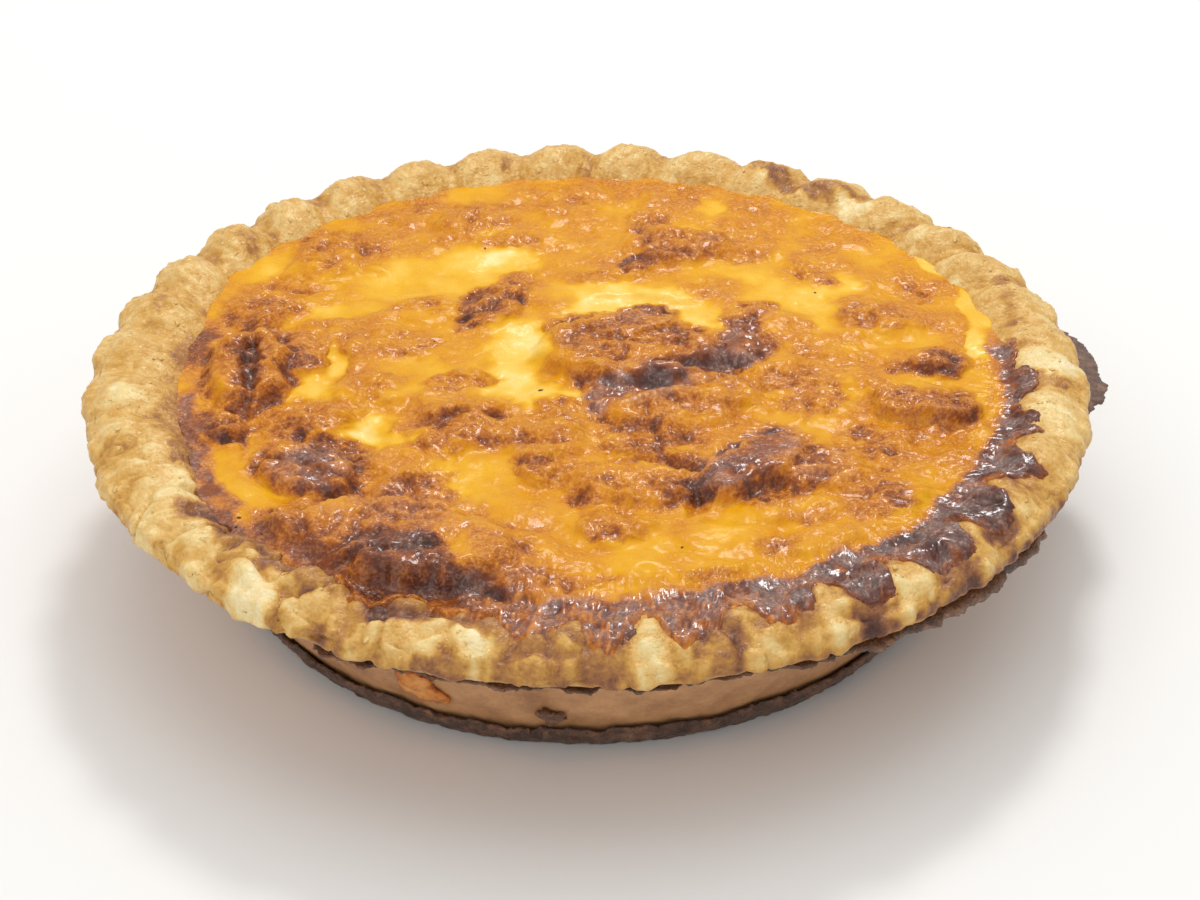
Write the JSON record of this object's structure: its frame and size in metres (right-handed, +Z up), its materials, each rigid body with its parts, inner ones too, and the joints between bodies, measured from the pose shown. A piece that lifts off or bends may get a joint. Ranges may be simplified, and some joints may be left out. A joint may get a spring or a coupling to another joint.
{
  "type": "quiche",
  "caption": "Round baked quiche in a crimped shortcrust case, with a browned egg and cheese filling that boiled over the rim and burnt at the foot.",
  "frame": {"origin": "centre of the case's foot, on the surface it stands on", "axes": "+Z up along the quiche's axis, -Y towards its front, +X to the side where the burnt flake sticks out"},
  "size_m": [0.2074, 0.2014, 0.0433],
  "materials": {
    "pastry": "dry baked shortcrust, golden tan, blistered and flaky, browner in the valleys of the crimps",
    "custard": "moist glossy egg and cheese skin, yellow to orange, with brown and nearly black scorched patches",
    "burnt": "leaked filling burnt dark brown, rough and cracked",
    "cheese": "melted cheese baked orange, slightly glossy"
  },
  "bodies": {
    "root": {"pastry_case": "pastry", "egg_filling": "custard", "burnt_foot_band": "burnt", "burnt_leak": "burnt", "cheese_drip": "cheese"}
  },
  "joints": []
}
